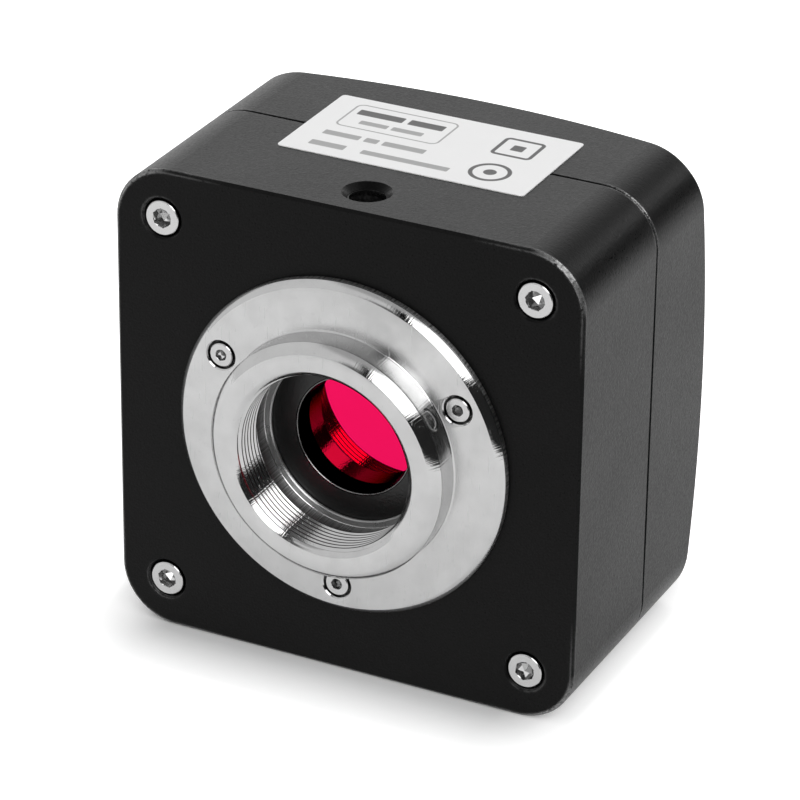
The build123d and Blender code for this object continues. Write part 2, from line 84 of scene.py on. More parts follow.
# Screws, in millimetres: the key is the socket's width across flats, and the slope is that of
# the drill point at its foot. Turns and angles are in degrees.
flange_screw = {
    "head_radius": 1.68,
    "head_height": 2.0,
    "shank_radius": 1.0,
    "length": 4.0,
    "key": 1.5,
    "key_depth": 1.0,
    "slope": 1.0,
}
flange_screw_circle = 20.0
flange_screw_angles = (30.0, 150.0, 270.0)
flange_screw_turns = (12.0, 41.0, 3.0)
flange_counterbore_radius = 2.05
flange_counterbore_chamfer = 0.15
flange_counterbore_end_at = 6.8
flange_counterbore_segments = 64
flange_screw_hole_radius = 1.1
housing_screw = {
    "head_radius": 2.45,
    "head_height": 3.0,
    "shank_radius": 1.5,
    "length": 25.0,
    "key": 2.5,
    "key_depth": 1.5,
    "slope": 0.6,
}
housing_screw_offset = 27.0
housing_screw_turns = (24.0, 9.0, 17.0, 38.0)
housing_face_at = 6.6
screw_segments = 96

# Tripod hole and its threaded lining, in millimetres: the lining's depths run down from the top
tripod_at = 12.9
tripod_top = 34.0
tripod_radius = 2.6
tripod_pitch = 1.27
tripod_segments = 96
lining_start = 0.85
lining_end = 6.9
lining_clearance = 0.01
lining_wall = 0.03
lining_thread_height = 0.2

# Places where a finish changes, in millimetres. Each pair is where one mask begins and ends, as
# a distance from the mount's or the tripod hole's axis, a depth along +Y or a height along +Z.
groove_edge = (relief_radius - 0.25, relief_radius - 0.15)
groove_depths = (thread_end_at + 0.1, relief_end_at - 0.1)
crest_edge = (thread_crest_radius + 0.01, thread_crest_radius + 0.04)
crest_depths = (relief_end_at, thread_end_at + 1.0)
land_edge = (13.2, 13.4)
land_depths = (relief_end_at - 0.05, relief_end_at + 0.05)
filter_at = 12.926
filter_face_depths = (filter_at + 0.02, filter_at + 0.06)
countersink_edge = (3.36, 3.42)
countersink_heights = (25.0, 33.97)
worn_from = (38.0, 41.0)
corner_from = (42.6, 44.4)
front_edge_depths = (housing_face_at + 0.03, housing_face_at + 0.37)
front_edge_from = (42.6, 43.8)
aperture_edge = (8.5, 8.7)
aperture_end = (13.2, 13.6)
aperture_rim = (8.37, 8.50)
aperture_rim_depths = (9.44, 9.60)
seat_edge = (12.4, 12.5)
seat_depths = (9.4, 9.6)
parting_at = 29.3
parting_half_width = 0.23
parting_depths = (parting_at - parting_half_width, parting_at + parting_half_width)

# Values that nearly all of a noise lies between
noise_low = 0.3
noise_high = 0.7

# Smooth shading keeps the edges that are sharper than these angles, in degrees
turned_sharp_angle = 28.0
screw_sharp_angle = 15.0


class Graph:
    """Wires the shader nodes of one material or of the world."""

    def __init__(self, owner):
        owner.use_nodes = True
        self.tree = owner.node_tree
        self.tree.nodes.clear()
        self.place = None

    def add(self, kind, inputs=None, **settings):
        """A new node, with values or other nodes' outputs for its inputs by name or number."""
        node = self.tree.nodes.new(kind)
        for name, value in settings.items():
            setattr(node, name, value)
        for socket, value in (inputs or {}).items():
            self.feed(node.inputs[socket], value)
        return node

    def feed(self, socket, value):
        if isinstance(value, bpy.types.NodeSocket):
            self.tree.links.new(value, socket)
        else:
            socket.default_value = value

    def position(self):
        """The point on the object, in metres, in the frame's own axes."""
        if self.place is None:
            self.place = self.add("ShaderNodeTexCoord").outputs["Object"]
        return self.place

    def axes(self, vector=None):
        split = self.add("ShaderNodeSeparateXYZ", {0: vector or self.position()})
        return split.outputs["X"], split.outputs["Y"], split.outputs["Z"]

    def reach(self, x, z, centre_x=0.0, centre_z=0.0):
        """Distance of a point from an axis."""
        if centre_x or centre_z:
            x = self.math("SUBTRACT", x, centre_x)
            z = self.math("SUBTRACT", z, centre_z)
        squares = self.math("ADD", self.math("MULTIPLY", x, x), self.math("MULTIPLY", z, z))
        return self.math("SQRT", squares)

    def both(self, first, second):
        """1 where both masks are 1."""
        return self.math("MULTIPLY", first, second)

    def either(self, first, second):
        """1 where at least one of the masks is 1."""
        return self.math("MAXIMUM", first, second)

    def within(self, value, low, high, blend):
        """1 between low and high, with both edges blended."""
        rising = self.spread(value, low - blend, low + blend)
        return self.both(rising, self.below(value, high - blend, high + blend))

    def beyond(self, value, low, high):
        """How far the value lies outside low to high, and 0 inside."""
        below = self.math("SUBTRACT", low, value)
        above = self.math("SUBTRACT", value, high)
        return self.math("MAXIMUM", self.math("MAXIMUM", below, above), 0.0)

    def normal(self):
        """The surface's own direction, before any bump."""
        return self.add("ShaderNodeNewGeometry").outputs["Normal"]

    def facing(self):
        """The surface's own direction along X, Y and Z, before any bump."""
        return self.axes(self.normal())

    def math(self, operation, *values):
        node = self.add("ShaderNodeMath", dict(enumerate(values)), operation=operation)
        return node.outputs[0]

    def spread(self, value, low, high, to_low=0.0, to_high=1.0):
        """Maps low to high onto to_low to to_high, with both ends held."""
        inputs = {
            "Value": value,
            "From Min": low,
            "From Max": high,
            "To Min": to_low,
            "To Max": to_high,
        }
        return self.add("ShaderNodeMapRange", inputs, clamp=True).outputs[0]

    def below(self, value, low, high):
        """1 up to low, falling to 0 at high."""
        return self.spread(value, low, high, 1.0, 0.0)

    def between(self, mask, bare, covered):
        """The value bare where the mask is 0, and covered where it is 1."""
        return self.spread(mask, 0.0, 1.0, bare, covered)

    def varied(self, noise, low, high):
        """Low to high as the noise goes through its usual values."""
        return self.spread(noise, noise_low, noise_high, low, high)

    def noise(self, size, detail=2.0, vector=None, stretch=None, distortion=0.0):
        """Noise whose features are about size metres across."""
        vector = vector or self.position()
        if stretch:
            vector = self.add("ShaderNodeMapping", {"Vector": vector, "Scale": stretch}).outputs[0]
        inputs = {"Vector": vector, "Scale": 1 / size, "Detail": detail, "Distortion": distortion}
        return self.add("ShaderNodeTexNoise", inputs).outputs[0]

    def line_noise(self, along, size, detail=2.0):
        """Noise along one value alone, for turned or brushed lines."""
        inputs = {"W": along, "Scale": 1 / size, "Detail": detail}
        return self.add("ShaderNodeTexNoise", inputs, noise_dimensions="1D").outputs[0]

    def mix(self, share, first, second):
        """Colour between first and second."""
        node = self.add("ShaderNodeMix", {0: share, 6: first, 7: second}, data_type="RGBA")
        return node.outputs[2]

    def bump(self, height, distance, strength=1.0, normal=None):
        inputs = {"Height": height, "Distance": distance, "Strength": strength}
        if normal:
            inputs["Normal"] = normal
        return self.add("ShaderNodeBump", inputs).outputs[0]

    def edges(self, radius):
        """1 along the solid's outer and inner edges, 0 away from them."""
        rounded = self.add("ShaderNodeBevel", {"Radius": radius}, samples=4).outputs[0]
        inputs = {0: rounded, 1: self.normal()}
        same = self.add("ShaderNodeVectorMath", inputs, operation="DOT_PRODUCT")
        return self.spread(same.outputs["Value"], 0.985, 0.9)

    def principled(self, inputs):
        return self.add("ShaderNodeBsdfPrincipled", inputs).outputs[0]

    def surface(self, shader):
        """Closes a material with its shader."""
        output = self.add("ShaderNodeOutputMaterial")
        self.tree.links.new(shader, output.inputs["Surface"])


def grey(value):
    return (value, value, value, 1.0)


def metres(limits):
    """A pair of limits in millimetres, as metres."""
    return [limit * mm for limit in limits]


def finished(name, build):
    """A material whose nodes are wired by build(graph), which gives the closing shader."""
    made = bpy.data.materials.new(name)
    graph = Graph(made)
    graph.surface(build(graph))
    return made


def dress(node, made):
    """Gives a CAD node another material in every slot."""
    for slot in nodes[node].material_slots:
        slot.material = made


# Surface finishes

def black_anodised(graph):
    """Bead-blasted aluminium under black anodising: satin and grainy, rubbed at its corners."""
    x, y, z = graph.axes()
    from_axis = graph.reach(x, z)
    from_tripod = graph.reach(x, y, 0.0, tripod_at * mm)
    grain = graph.noise(0.30 * mm, 2.0)
    dimples = graph.noise(0.7 * mm, 2.0)
    patches = graph.noise(14 * mm, 3.0)

    # Scuffs: at the corners, and along the front edge near them
    corner = graph.spread(from_axis, *metres(corner_from))
    worn = graph.both(graph.edges(0.45 * mm), graph.spread(from_axis, *metres(worn_from)))
    front_edge = graph.both(
        graph.within(y, *metres(front_edge_depths), 0.03 * mm),
        graph.spread(from_axis, *metres(front_edge_from)),
    )
    worn = graph.either(worn, graph.math("MULTIPLY", front_edge, 0.5))
    scuffed = graph.both(worn, graph.spread(graph.noise(0.45 * mm, 4.0), 0.30, 0.50))

    # The aperture's wall is painted black as shade where it is looked at, and gets a painted
    # reflection, a metal colour, where it is seen at a slant as in the filter's mirror image
    bored = graph.both(
        graph.below(from_axis, *metres(aperture_edge)),
        graph.below(y, *metres(aperture_end)),
    )
    inputs = {0: graph.normal(), 1: (0.0, -1.0, 0.0)}
    tilted = graph.add("ShaderNodeVectorMath", inputs, operation="ADD").outputs[0]
    tilted = graph.add("ShaderNodeVectorMath", {0: tilted}, operation="NORMALIZE").outputs[0]
    painted_reflection = graph.add("ShaderNodeLayerWeight", {"Normal": tilted}).outputs["Facing"]
    painted_reflection = graph.both(bored, graph.spread(painted_reflection, 0.27, 0.42))

    # The aperture's rim, the seat round it, the tripod hole's countersink and the parting line
    rim = graph.both(
        graph.within(from_axis, *metres(aperture_rim), 0.02 * mm),
        graph.within(y, *metres(aperture_rim_depths), 0.03 * mm),
    )
    seat = graph.both(
        graph.within(y, *metres(seat_depths), 0.04 * mm),
        graph.below(from_axis, *metres(seat_edge)),
    )
    countersunk = graph.both(
        graph.below(from_tripod, *metres(countersink_edge)),
        graph.within(z, *metres(countersink_heights), 0.02 * mm),
    )
    parting = graph.both(
        graph.within(y, *metres(parting_depths), 0.03 * mm),
        graph.below(corner, 0.0, 0.5),
    )
    # Painted shade: the aperture's wall and the parting line's groove are made black, without
    # reflection
    painted_shade = graph.either(bored, parting)

    tone = graph.mix(patches, grey(0.0045), grey(0.0065))
    tone = graph.mix(graph.spread(grain, 0.35, 0.65, 0.35, 0.0), tone, grey(0.0))
    colour = graph.mix(scuffed, tone, graph.mix(corner, grey(0.10), grey(0.42)))
    # The colour takes the painted shade, the wall's painted reflection, the rim and the seat
    for mask, layer in (
        (painted_shade, grey(0.0)),
        (painted_reflection, (0.24, 0.16, 0.11, 1.0)),
        (rim, grey(0.34)),
        (graph.math("SUBTRACT", seat, rim), grey(0.011)),
    ):
        colour = graph.mix(mask, colour, layer)
    blasted = graph.varied(grain, 0.27, 0.42)
    gloss = graph.math("ADD", blasted, graph.varied(patches, -0.02, 0.02))
    for mask, roughness in (
        (scuffed, 0.16),
        (seat, 0.28),
        (bored, 0.10),
        (rim, 0.30),
        (countersunk, 0.22),
    ):
        gloss = graph.between(mask, gloss, roughness)
    tint = grey(0.13)
    # The tint leaves the painted shade without reflection, and paints shade into the countersink
    # with a weak one
    for mask, level in ((scuffed, 1.0), (seat, 1.0), (painted_shade, 0.0), (countersunk, 0.05)):
        tint = graph.mix(mask, tint, grey(level))
    bare = graph.both(scuffed, graph.between(corner, 0.3, 0.9))
    inputs = {
        "Base Color": colour,
        "Metallic": graph.either(graph.either(bored, rim), bare),
        "Roughness": gloss,
        "IOR": 1.5,
        "Specular Tint": tint,
        "Normal": graph.bump(dimples, 0.03 * mm, 0.6, graph.bump(grain, 0.03 * mm, 0.9)),
    }
    return graph.principled(inputs)


def turned_metal(graph):
    """Nickel-plated turned brass, with fine tool marks that stretch each reflection across them."""
    x, y, z = graph.axes()
    radius = graph.reach(x, z)
    along = graph.math("ADD", radius, y)
    fine = graph.line_noise(along, 0.05 * mm, 3.0)
    broad = graph.line_noise(along, 0.4 * mm, 2.0)
    turn = graph.math("ARCTAN2", z, x)
    chatter = graph.line_noise(turn, 0.014, 2.0)
    stains = graph.noise(3.0 * mm, 4.0)
    specks = graph.spread(graph.noise(0.35 * mm, 4.0), 0.66, 0.72)
    scratch = graph.noise(0.22 * mm, 2.0, stretch=(1.0, 1.0, 0.04), distortion=0.6)
    scratches = graph.spread(scratch, 0.66, 0.7)
    flat = graph.spread(graph.facing()[1], -0.9, -0.97)
    curved = graph.between(flat, 1.0, 0.0)

    # Inside the bore: the relief groove, the thread's crests and the land behind them
    groove = graph.both(
        graph.within(y, *metres(groove_depths), 0.05 * mm),
        graph.spread(radius, *metres(groove_edge)),
    )
    crest = graph.both(
        graph.below(radius, *metres(crest_edge)),
        graph.spread(y, *metres(crest_depths)),
    )
    land = graph.both(
        graph.spread(y, *metres(land_depths)),
        graph.below(radius, *metres(land_edge)),
    )
    hidden = graph.either(graph.either(groove, crest), land)

    tone = graph.mix(graph.spread(stains, 0.35, 0.7), grey(0.66), grey(0.61))
    # Painted shade: the thread's crests, the relief groove and the land are darker than the rest
    tone = graph.mix(crest, tone, grey(0.06))
    tone = graph.mix(groove, tone, grey(0.34))
    tone = graph.mix(land, tone, grey(0.50))
    colour = graph.mix(graph.math("MULTIPLY", specks, 0.4), tone, grey(0.40))
    # Painted shade: dark stripes across the relief groove, following the chatter
    painted_dark_stripes = graph.both(groove, graph.spread(chatter, 0.35, 0.65))
    colour = graph.mix(painted_dark_stripes, colour, grey(0.12))
    sheen = graph.between(flat, 0.09, 0.22)
    sheen = graph.between(hidden, sheen, 0.34)
    gloss = graph.math("ADD", sheen, graph.varied(stains, -0.02, 0.03))
    gloss = graph.math("ADD", gloss, graph.math("MULTIPLY", scratches, 0.1))
    normal = graph.bump(fine, 0.0012 * mm, 0.6, graph.bump(broad, 0.003 * mm, 0.4))
    normal = graph.bump(scratches, 0.006 * mm, 0.4, normal)
    normal = graph.bump(graph.both(groove, chatter), 0.05 * mm, 0.8, normal)
    normal = graph.bump(graph.both(curved, chatter), 0.012 * mm, 0.6, normal)
    tangent = graph.add("ShaderNodeTangent", direction_type="RADIAL", axis="Y").outputs[0]
    inputs = {
        "Base Color": colour,
        "Metallic": 1.0,
        "Roughness": gloss,
        "Anisotropic": 0.85,
        "Anisotropic Rotation": 0.25,
        "Tangent": tangent,
        "Normal": normal,
    }
    return graph.principled(inputs)


def tapped_thread(graph):
    """Thread cut into anodised aluminium: glossier than the housing, with patches of dust."""
    height = graph.axes()[2]
    dust = graph.noise(0.4 * mm, 3.0)
    lines = graph.line_noise(height, 0.08 * mm, 2.0)
    inputs = {
        "Base Color": graph.mix(graph.spread(dust, 0.5, 0.7), grey(0.006), grey(0.02)),
        "Roughness": graph.varied(lines, 0.18, 0.30),
        "Specular Tint": grey(0.2),
        "Normal": graph.bump(lines, 0.004 * mm, 0.5),
    }
    return graph.principled(inputs)


def screw_steel(graph):
    """Bright stainless steel with light handling marks and rubbed edges."""
    stains = graph.noise(1.2 * mm, 4.0)
    marks = graph.noise(0.12 * mm, 2.0, stretch=(1.0, 1.0, 0.3))
    worn = graph.edges(0.08 * mm)
    tone = graph.mix(stains, grey(0.60), grey(0.68))
    colour = graph.mix(graph.math("MULTIPLY", worn, 0.4), tone, grey(0.8))
    gloss = graph.varied(marks, 0.16, 0.24)
    normal = graph.bump(marks, 0.003 * mm, 0.5)
    inputs = {"Base Color": colour, "Metallic": 1.0, "Roughness": gloss, "Normal": normal}
    return graph.principled(inputs)


def socket_steel_painted_shade(graph):
    """Inside of a screw's socket: smooth facets with a film of oil, painted darker as shade."""
    film = graph.noise(0.6 * mm, 3.0)
    marks = graph.noise(0.1 * mm, 2.0, stretch=(1.0, 0.2, 1.0))
    colour = graph.mix(film, grey(0.42), grey(0.52))
    gloss = graph.varied(marks, 0.10, 0.16)
    normal = graph.bump(marks, 0.001 * mm, 0.4)
    inputs = {"Base Color": colour, "Metallic": 1.0, "Roughness": gloss, "Normal": normal}
    return graph.principled(inputs)


def crimson_coating(graph):
    """Interference coating that mirrors most light in crimson and lets the rest through."""
    depth = graph.axes()[1]
    dust = graph.spread(graph.noise(0.3 * mm, 3.0), 0.68, 0.75)
    streaks = graph.noise(6 * mm, 2.0)
    colour = graph.mix(streaks, (0.95, 0.006, 0.105, 1.0), (0.99, 0.008, 0.125, 1.0))
    gloss = graph.math("ADD", 0.015, graph.math("MULTIPLY", dust, 0.05))
    coated = graph.spread(depth, *metres(filter_face_depths), 0.98, 0.04)
    inputs = {"Base Color": colour, "Metallic": 1.0, "Roughness": gloss, "Alpha": coated}
    return graph.principled(inputs)


def plain_metal(graph, tone, roughness, scale):
    """Metal with small variations of tone and gloss."""
    stains = graph.noise(scale, 4.0)
    marks = graph.noise(scale * 0.1, 2.0)
    worn = graph.edges(0.06 * mm)
    dull = tuple(0.8 * part for part in tone) + (1.0,)
    bright = tuple(min(1.0, 1.25 * part) for part in tone) + (1.0,)
    colour = graph.mix(stains, dull, tone + (1.0,))
    colour = graph.mix(graph.math("MULTIPLY", worn, 0.5), colour, bright)
    gloss = graph.varied(marks, roughness - 0.06, roughness + 0.06)
    normal = graph.bump(marks, 0.004 * mm, 0.5)
    inputs = {"Base Color": colour, "Metallic": 1.0, "Roughness": gloss, "Normal": normal}
    return graph.principled(inputs)


def moulded(graph, tone, roughness, grain_size=0.3 * mm):
    """Moulded plastic, ceramic or rubber with a fine grain and slightly rubbed edges."""
    grain = graph.noise(grain_size, 2.0)
    cloud = graph.noise(12 * grain_size, 3.0)
    worn = graph.edges(0.1 * mm)
    low = tuple(0.85 * part for part in tone) + (1.0,)
    rubbed = tuple(min(1.0, 1.3 * part + 0.01) for part in tone) + (1.0,)
    colour = graph.mix(cloud, low, tone + (1.0,))
    colour = graph.mix(graph.math("MULTIPLY", worn, 0.5), colour, rubbed)
    gloss = graph.varied(grain, roughness - 0.05, roughness + 0.05)
    normal = graph.bump(grain, 0.01 * mm, 0.6)
    inputs = {"Base Color": colour, "Roughness": gloss, "Normal": normal}
    return graph.principled(inputs)


def clear_moulding(graph, tint, roughness):
    """Clear glass or plastic with faint smears."""
    smears = graph.noise(2 * mm, 3.0)
    colour = graph.mix(smears, tuple(0.95 * part for part in tint) + (1.0,), tint + (1.0,))
    gloss = graph.varied(smears, roughness, roughness + 0.05)
    inputs = {"Base Color": colour, "Roughness": gloss, "IOR": 1.5, "Transmission Weight": 0.9}
    return graph.principled(inputs)


def cover_glass(graph):
    """Coated glass over the image sensor: mostly a dim mirror."""
    smears = graph.noise(2 * mm, 3.0)
    colour = graph.mix(smears, (0.50, 0.30, 0.36, 1.0), (0.54, 0.33, 0.39, 1.0))
    gloss = graph.varied(smears, 0.02, 0.04)
    inputs = {"Base Color": colour, "Metallic": 1.0, "Roughness": gloss}
    return graph.principled(inputs)


def circuit_board(graph):
    """Green solder mask over raised copper tracks."""
    x, _, z = graph.axes()
    across = graph.add("ShaderNodeCombineXYZ", {"X": x, "Y": z}).outputs[0]
    inputs = {"Vector": across, "Scale": 1 / (1.6 * mm)}
    cells = graph.add("ShaderNodeTexVoronoi", inputs, distance="CHEBYCHEV")
    tracks = graph.spread(cells.outputs["Distance"], 0.30, 0.34)
    weave = graph.noise(0.25 * mm, 1.0)
    colour = graph.mix(tracks, (0.008, 0.10, 0.035, 1.0), (0.012, 0.16, 0.055, 1.0))
    gloss = graph.varied(weave, 0.28, 0.4)
    normal = graph.bump(tracks, 0.03 * mm, 0.5, graph.bump(weave, 0.01 * mm, 0.4))
    inputs = {"Base Color": colour, "Roughness": gloss, "Normal": normal}
    return graph.principled(inputs)


# Sticker: plain shapes in millimetres from the sticker's middle, as centre, half size,
# corner radius and line width, where no line width means a filled shape
sticker_blur = 0.05
sticker_ink = grey(0.10)
sticker_pale_ink = grey(0.38)
sticker_frame = [((-6.9, 3.9), (7.5, 3.8), 1.0, 0.28)]
sticker_dark_shapes = [
    ((-10.0, 5.3), (3.4, 0.85), 0.2, None),
    ((-3.2, 5.3), (2.6, 0.85), 0.2, None),
    ((10.9, 4.0), (2.7, 2.7), 0.6, 0.55),
    ((10.9, 4.0), (0.9, 0.9), 0.2, None),
    ((10.9, -4.7), (2.6, 2.6), 2.6, 0.6),
    ((10.9, -4.7), (0.9, 0.9), 0.9, None),
]
sticker_pale_shapes = [
    ((-9.6, 2.2), (2.1, 0.6), 0.2, None),
    ((-4.6, 2.2), (2.3, 0.6), 0.2, None),
    ((-11.8, -2.8), (2.7, 0.7), 0.2, None),
    ((-7.4, -2.8), (1.0, 0.7), 0.2, None),
    ((-2.6, -2.8), (3.1, 0.7), 0.2, None),
    ((-12.0, -6.6), (2.6, 0.75), 0.2, None),
    ((-0.6, -6.6), (6.4, 0.65), 0.2, None),
]


def printed_shape(graph, x, y, shape):
    """1 inside a rounded box or on its outline, 0 outside it."""
    middle, half_size, corner, line = shape
    past = []
    for value, centre, half in zip((x, y), middle, half_size):
        off = graph.math("ABSOLUTE", graph.math("SUBTRACT", value, centre))
        past.append(graph.math("SUBTRACT", off, half - corner))
    past_x, past_y = past
    outside = graph.reach(graph.math("MAXIMUM", past_x, 0.0), graph.math("MAXIMUM", past_y, 0.0))
    inside = graph.math("MINIMUM", graph.math("MAXIMUM", past_x, past_y), 0.0)
    distance = graph.math("SUBTRACT", graph.math("ADD", outside, inside), corner)
    if line:
        distance = graph.math("SUBTRACT", graph.math("ABSOLUTE", distance), line / 2)
    return graph.below(distance, -sticker_blur, sticker_blur)


def sticker_film(graph):
    """White film with plain printed shapes, a faint grain and slightly soiled edges."""
    low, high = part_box("top_label")
    middle = (low + high) / 2
    x, y, _ = graph.axes()
    x = graph.math("MULTIPLY", graph.math("SUBTRACT", x, middle.x), 1 / mm)
    y = graph.math("MULTIPLY", graph.math("SUBTRACT", y, middle.y), 1 / mm)
    grain = graph.noise(0.2 * mm, 2.0)
    cloud = graph.noise(6 * mm, 3.0)
    colour = graph.mix(cloud, grey(0.87), grey(0.90))
    for shapes, ink in (
        (sticker_frame + sticker_pale_shapes, sticker_pale_ink),
        (sticker_dark_shapes, sticker_ink),
    ):
        for shape in shapes:
            colour = graph.mix(printed_shape(graph, x, y, shape), colour, ink)
    worn = graph.math("MULTIPLY", graph.edges(0.1 * mm), 0.5)
    colour = graph.mix(worn, colour, grey(0.6))
    gloss = graph.varied(grain, 0.42, 0.52)
    normal = graph.bump(grain, 0.006 * mm, 0.5)
    inputs = {"Base Color": colour, "Roughness": gloss, "Normal": normal}
    return graph.principled(inputs)


# Mesh builders

def mesh_object(name, mesh, finishes, replaced=()):
    """Adds a mesh as a piece of the object, in place of the CAD nodes that it stands for."""
    piece = bpy.data.objects.new(name, mesh)
    bpy.context.scene.collection.objects.link(piece)
    for made in finishes:
        mesh.materials.append(made)
    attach(piece, "root")
    if replaced:
        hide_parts(*replaced)
    return piece


def mesh_of(name, form):
    """A mesh from a form, which is freed."""
    mesh = bpy.data.meshes.new(name)
    form.to_mesh(mesh)
    form.free()
    return mesh


def swept_mesh(name, columns):
    """Closed ring mesh from columns of points, one column for each step of the turn."""
    form = bmesh.new()
    grid = [[form.verts.new(point) for point in column] for column in columns]
    for first, second in zip(grid, grid[1:]):
        for row in range(len(first)):
            after = (row + 1) % len(first)
            form.faces.new((first[row], first[after], second[after], second[row]))
    bmesh.ops.remove_doubles(form, verts=form.verts, dist=0.0005 * mm)
    bmesh.ops.dissolve_degenerate(form, edges=form.edges, dist=0.0002 * mm)
    bmesh.ops.recalc_face_normals(form, faces=form.faces)
    return mesh_of(name, form)


def turned(name, profile, segments, centre=(0.0, 0.0)):
    """Turns profile(angle), a loop of (radius, depth) in millimetres, round an axis along +Y."""
    columns = []
    for step in range(segments + 1):
        angle = 2 * pi * step / segments
        columns.append([
            (
                (centre[0] + radius * cos(angle)) * mm,
                depth * mm,
                (centre[1] + radius * sin(angle)) * mm,
            )
            for radius, depth in profile(angle)
        ])
    return swept_mesh(name, columns)


def polygon(form, sides, radius, turn, depth):
    """Corners of a regular polygon across +Y, in millimetres, turned by degrees."""
    corners = []
    for side in range(sides):
        angle = radians(turn) + 2 * pi * side / sides
        point = (radius * cos(angle) * mm, depth * mm, radius * sin(angle) * mm)
        corners.append(form.verts.new(point))
    return corners


def prism(name, sides, radius, turn, start, end):
    """Closed prism along +Y with its corners on the radius, in millimetres."""
    form = bmesh.new()
    first = polygon(form, sides, radius, turn, start)
    last = polygon(form, sides, radius, turn, end)
    form.faces.new(first)
    form.faces.new(last)
    for side in range(sides):
        after = (side + 1) % sides
        form.faces.new((first[side], first[after], last[after], last[side]))
    bmesh.ops.recalc_face_normals(form, faces=form.faces)
    return mesh_of(name, form)


def pyramid(name, sides, radius, turn, start, height):
    """Closed pyramid that points along +Y, in millimetres."""
    form = bmesh.new()
    corners = polygon(form, sides, radius, turn, start)
    tip = form.verts.new((0.0, (start + height) * mm, 0.0))
    form.faces.new(corners)
    for side in range(sides):
        form.faces.new((corners[side], corners[(side + 1) % sides], tip))
    bmesh.ops.recalc_face_normals(form, faces=form.faces)
    return mesh_of(name, form)


def cut(mesh, cutters):
    """The mesh with each cutter mesh taken away from it."""
    body = bpy.data.objects.new("cut_body", mesh)
    bpy.context.scene.collection.objects.link(body)
    helpers = []
    for number, cutter in enumerate(cutters):
        helper = bpy.data.objects.new(f"cutter_{number}", cutter)
        bpy.context.scene.collection.objects.link(helper)
        helpers.append(helper)
        knife = body.modifiers.new(f"cut_{number}", "BOOLEAN")
        knife.operation = "DIFFERENCE"
        knife.solver = "EXACT"
        knife.object = helper
    bpy.context.view_layer.update()
    seen = body.evaluated_get(bpy.context.evaluated_depsgraph_get())
    result = bpy.data.meshes.new_from_object(seen)
    result.name = mesh.name + "_cut"
    for helper in helpers + [body]:
        bpy.data.objects.remove(helper)
    return result


def smooth(mesh, angle=turned_sharp_angle):
    """Smooth shading that keeps the edges sharper than the angle, in degrees."""
    mesh.polygons.foreach_set("use_smooth", [True] * len(mesh.polygons))
    mesh.set_sharp_from_angle(angle=radians(angle))
    mesh.update()
    return mesh


def joined(name, meshes):
    """One mesh from several, each given with the matrix that places it."""
    form = bmesh.new()
    for mesh, place in meshes:
        moved = mesh.copy()
        moved.transform(place)
        form.from_mesh(moved)
        bpy.data.meshes.remove(moved)
    return mesh_of(name, form)


# Lens mount ring with its fine thread

def thread_form(crest, root):
    """One turn of a 60 degree inner thread, as share of the pitch and radius in millimetres."""
    edge = 0.07 * (root - crest)
    return [
        (0.0, crest),
        (0.23, crest),
        (0.27, crest + edge),
        (0.54, root - edge),
        (0.57, root),
        (0.66, root),
        (0.69, root - edge),
        (0.97, crest + edge),
        (1.0, crest),
    ]


def threaded_wall(angle, pitch, crest, root, start, end, mouth=0.0):
    """Points down a threaded bore from start to end, with a 45 degree mouth where one is given."""
    form = thread_form(crest, root)
    points = []
    for turn in range(floor(start / pitch) - 1, floor(end / pitch) + 3):
        for share, _ in form[:-1]:
            depth = (turn + share - angle / (2 * pi)) * pitch
            depth = min(max(depth, start), end)
            place = (depth / pitch + angle / (2 * pi)) % 1.0
            radius = root
            for (low_share, low), (high_share, high) in zip(form, form[1:]):
                if place <= high_share:
                    radius = low + (high - low) * (place - low_share) / (high_share - low_share)
                    break
            points.append((max(radius, mouth - depth), depth))
    return points


def ring_profile(angle):
    """Cross-section of the mount ring, from its rim inward, back, and round the outside."""
    half_break = edge_break / 2
    front = [
        (mouth_radius + edge_break, 0.0),
        (mouth_radius, mouth_edge_at),
    ]
    wall = threaded_wall(
        angle,
        thread_pitch,
        thread_crest_radius,
        thread_root_radius,
        thread_start_at,
        thread_end_at,
        mouth_radius,
    )
    inside = [
        (relief_radius - edge_break, thread_end_at),
        (relief_radius, thread_end_at + edge_break),
        (relief_radius, relief_end_at - edge_break),
        (relief_radius - edge_break, relief_end_at),
        (land_radius + 2 * edge_break, relief_end_at),
        (land_radius, relief_end_at + 2 * edge_break),
        (land_radius, spigot_end_at - edge_break),
        (land_radius + edge_break, spigot_end_at),
    ]
    outside = [
        (spigot_radius - edge_break, spigot_end_at),
        (spigot_radius, spigot_end_at - edge_break),
        (spigot_radius, flange_back_at),
        (flange_radius - edge_break, flange_back_at),
        (flange_radius, flange_back_at - edge_break),
        (flange_radius, flange_face_at + flange_chamfer + half_break),
        (flange_radius - half_break, flange_face_at + flange_chamfer - half_break),
        (flange_radius - flange_chamfer + half_break, flange_face_at + half_break),
        (flange_radius - flange_chamfer - half_break, flange_face_at),
    ]
    collar = []
    for step in range(collar_fillet_steps + 1):
        turn = pi / 2 * step / collar_fillet_steps
        collar.append((
            collar_radius + collar_fillet * (1 - sin(turn)),
            flange_face_at - collar_fillet * (1 - cos(turn)),
        ))
    collar += [
        (collar_radius, collar_chamfer + half_break),
        (collar_radius - half_break, collar_chamfer - half_break),
        (collar_radius - collar_chamfer + half_break, half_break),
        (collar_radius - collar_chamfer - half_break, 0.0),
    ]
    return front + wall + inside + outside + collar


def flange_screw_centre(angle):
    """X and Z of a flange screw, in millimetres, for its angle in degrees."""
    return (flange_screw_circle * cos(radians(angle)), flange_screw_circle * sin(radians(angle)))


